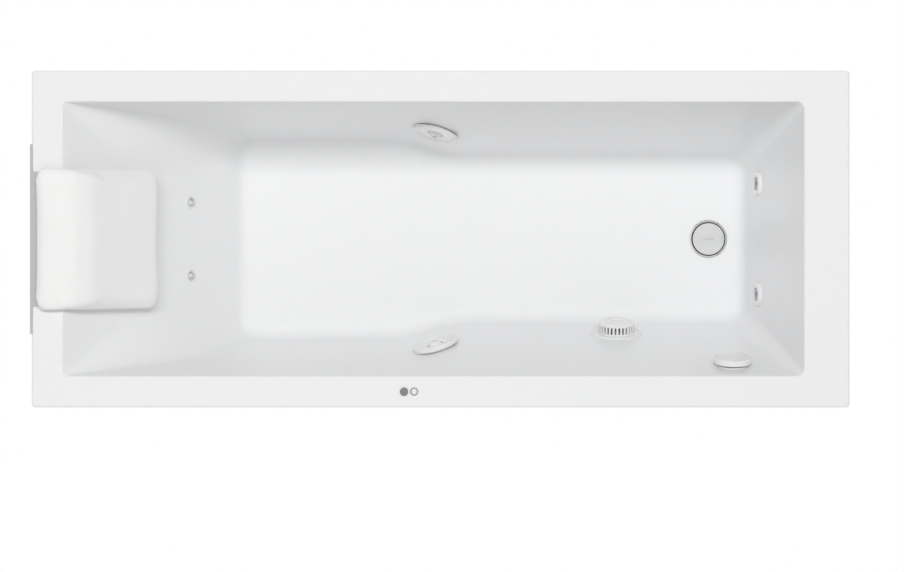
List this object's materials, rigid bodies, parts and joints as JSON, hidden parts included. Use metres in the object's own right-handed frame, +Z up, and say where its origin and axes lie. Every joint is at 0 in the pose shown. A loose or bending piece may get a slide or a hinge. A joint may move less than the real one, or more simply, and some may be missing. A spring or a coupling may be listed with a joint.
{
  "type": "jetted bathtub",
  "caption": "Rectangular acrylic bathtub on a steel frame with water jets, suction grille, pop-up waste, neck cushion and a pump under the sloping head end.",
  "frame": {"origin": "on the floor under the middle of the bath's rim", "axes": "+X towards the drain end along the bath's length, +Y towards the long side without controls, +Z up"},
  "size_m": [1.7029, 0.7, 0.6089],
  "materials": {
    "acrylic": "gloss",
    "glassfibre": "rough",
    "chipboard": "rough",
    "zinc_steel": "satin zinc",
    "chrome": "polished",
    "white_gloss": "gloss",
    "white_pipe": "satin",
    "black_plastic": "satin",
    "rubber": "matte",
    "grey_plastic": "satin",
    "clear_hose": "satin",
    "motor_aluminium": "cast",
    "copper": "wound",
    "steel": "ground",
    "grey_ring": "gloss",
    "dark_grey": "satin",
    "cushion_foam": "satin",
    "grey_strap": "matte",
    "foot_plastic": "satin"
  },
  "bodies": {
    "bath": {"air_pipes": "white_pipe", "back_jet_bodies": "white_gloss", "back_jet_hoses": "clear_hose", "base_board": "chipboard", "button_collar": "grey_ring", "button_tube": "clear_hose", "control_box": "grey_plastic", "control_box_lid": "grey_plastic", "deck_control_bodies": "black_plastic", "drain_flange": "chrome", "fan_cover": "black_plastic", "fitting_seals": "rubber", "foot_jet_bodies": "white_gloss", "frame_rails": "zinc_steel", "frame_uprights": "zinc_steel", "glassfibre_backing": "glassfibre", "motor_bearings": "steel", "motor_end_shield": "motor_aluminium", "motor_housing": "motor_aluminium", "motor_stator": "copper", "overflow_body": "white_pipe", "overflow_cable": "black_plastic", "overflow_hose": "white_pipe", "pump_base": "zinc_steel", "pump_cable": "black_plastic", "pump_cover": "black_plastic", "pump_cradle": "zinc_steel", "pump_mounts": "rubber", "pump_volute": "black_plastic", "side_jet_bodies": "white_pipe", "suction_body": "white_pipe", "suction_flange": "white_gloss", "suction_grille": "white_gloss", "suction_pipe": "white_pipe", "terminal_box": "black_plastic", "tub_shell": "acrylic", "waste_body": "white_pipe", "waste_trap": "white_pipe", "water_pipes": "white_pipe"},
    "drain_plug": {"drain_plug": "chrome"},
    "overflow_knob": {"overflow_knob": "white_gloss"},
    "power_button": {"power_button": "white_gloss"},
    "air_knob": {"air_knob": "dark_grey"},
    "pump_rotor": {"motor_shaft": "steel", "pump_impeller": "grey_plastic", "cooling_fan": "black_plastic"},
    "headrest": {"headrest_cushion": "cushion_foam", "headrest_hanger": "grey_strap"},
    "side_jet_ring_back": {"side_jet_ring_back": "white_gloss"},
    "side_jet_nozzle_back": {"side_jet_nozzle_back": "white_gloss"},
    "foot_jet_nozzle_back": {"foot_jet_nozzle_back": "grey_plastic"},
    "back_jet_nozzle_back": {"back_jet_nozzle_back": "chrome"},
    "side_jet_ring_front": {"side_jet_ring_front": "white_gloss"},
    "side_jet_nozzle_front": {"side_jet_nozzle_front": "white_gloss"},
    "foot_jet_nozzle_front": {"foot_jet_nozzle_front": "grey_plastic"},
    "back_jet_nozzle_front": {"back_jet_nozzle_front": "chrome"},
    "levelling_foot_head_front": {"levelling_foot_head_front": "foot_plastic"},
    "levelling_foot_head_back": {"levelling_foot_head_back": "foot_plastic"},
    "levelling_foot_foot_front": {"levelling_foot_foot_front": "foot_plastic"},
    "levelling_foot_foot_back": {"levelling_foot_foot_back": "foot_plastic"}
  },
  "joints": [
    {"name": "overflow_knob_turn", "type": "hinge", "parent": "bath", "child": "overflow_knob", "pos_m": [0.614, -0.26592, 0.505], "axis": [0, 0.9704, 0.2417], "range_deg": [0, 90]},
    {"name": "drain_plug_lift", "type": "slide", "parent": "bath", "child": "drain_plug", "axis": [0, 0, 1], "range_m": [0, 0.012]},
    {"name": "power_button_press", "type": "slide", "parent": "bath", "child": "power_button", "axis": [0, 0, -1], "range_m": [0, 0.0025], "stiffness_N_per_m": 500, "springref_m": -0.001},
    {"name": "air_knob_turn", "type": "hinge", "parent": "bath", "child": "air_knob", "pos_m": [-0.076, -0.317, 0.58], "axis": [0, 0, 1], "range_deg": [0, 270]},
    {"name": "side_jet_ring_back_turn", "type": "hinge", "parent": "bath", "child": "side_jet_ring_back", "pos_m": [-0.01, 0.23332, 0.328], "axis": [-0.2639, -0.9375, 0.2268], "range_deg": [0, 90]},
    {"name": "side_jet_nozzle_back_tilt", "type": "hinge", "parent": "side_jet_ring_back", "child": "side_jet_nozzle_back", "pos_m": [-0.01, 0.23332, 0.328], "axis": [0, 0.2352, 0.972], "range_deg": [-12, 12]},
    {"name": "foot_jet_nozzle_back_tilt", "type": "hinge", "parent": "bath", "child": "foot_jet_nozzle_back", "pos_m": [0.694, 0.121, 0.27], "axis": [0, 1, 0], "range_deg": [-12, 12]},
    {"name": "back_jet_nozzle_back_spin", "type": "hinge", "parent": "bath", "child": "back_jet_nozzle_back", "pos_m": [-0.545, 0.08, 0.28746], "axis": [0.7718, 0, 0.6358], "continuous": true},
    {"name": "side_jet_ring_front_turn", "type": "hinge", "parent": "bath", "child": "side_jet_ring_front", "pos_m": [-0.01, -0.23332, 0.328], "axis": [-0.2639, 0.9375, 0.2268], "range_deg": [0, 90]},
    {"name": "side_jet_nozzle_front_tilt", "type": "hinge", "parent": "side_jet_ring_front", "child": "side_jet_nozzle_front", "pos_m": [-0.01, -0.23332, 0.328], "axis": [0, -0.2352, 0.972], "range_deg": [-12, 12]},
    {"name": "foot_jet_nozzle_front_tilt", "type": "hinge", "parent": "bath", "child": "foot_jet_nozzle_front", "pos_m": [0.694, -0.121, 0.27], "axis": [0, 1, 0], "range_deg": [-12, 12]},
    {"name": "back_jet_nozzle_front_spin", "type": "hinge", "parent": "bath", "child": "back_jet_nozzle_front", "pos_m": [-0.545, -0.08, 0.28746], "axis": [0.7718, 0, 0.6358], "continuous": true},
    {"name": "pump_rotor_spin", "type": "hinge", "parent": "bath", "child": "pump_rotor", "pos_m": [-0.68, 0, 0.245], "axis": [0, 1, 0], "continuous": true},
    {"name": "headrest_lift", "type": "slide", "parent": "bath", "child": "headrest", "axis": [0, 0, 1], "range_m": [0, 0.15]},
    {"name": "levelling_foot_head_front_screw", "type": "slide", "parent": "bath", "child": "levelling_foot_head_front", "axis": [0, 0, 1], "range_m": [-0.012, 0.012]},
    {"name": "levelling_foot_head_back_screw", "type": "slide", "parent": "bath", "child": "levelling_foot_head_back", "axis": [0, 0, 1], "range_m": [-0.012, 0.012]},
    {"name": "levelling_foot_foot_front_screw", "type": "slide", "parent": "bath", "child": "levelling_foot_foot_front", "axis": [0, 0, 1], "range_m": [-0.012, 0.012]},
    {"name": "levelling_foot_foot_back_screw", "type": "slide", "parent": "bath", "child": "levelling_foot_foot_back", "axis": [0, 0, 1], "range_m": [-0.012, 0.012]}
  ],
  "couplings": [
    {"joint": "drain_plug_lift", "follows": "overflow_knob_turn", "m_per_rad": 0.007638}
  ]
}
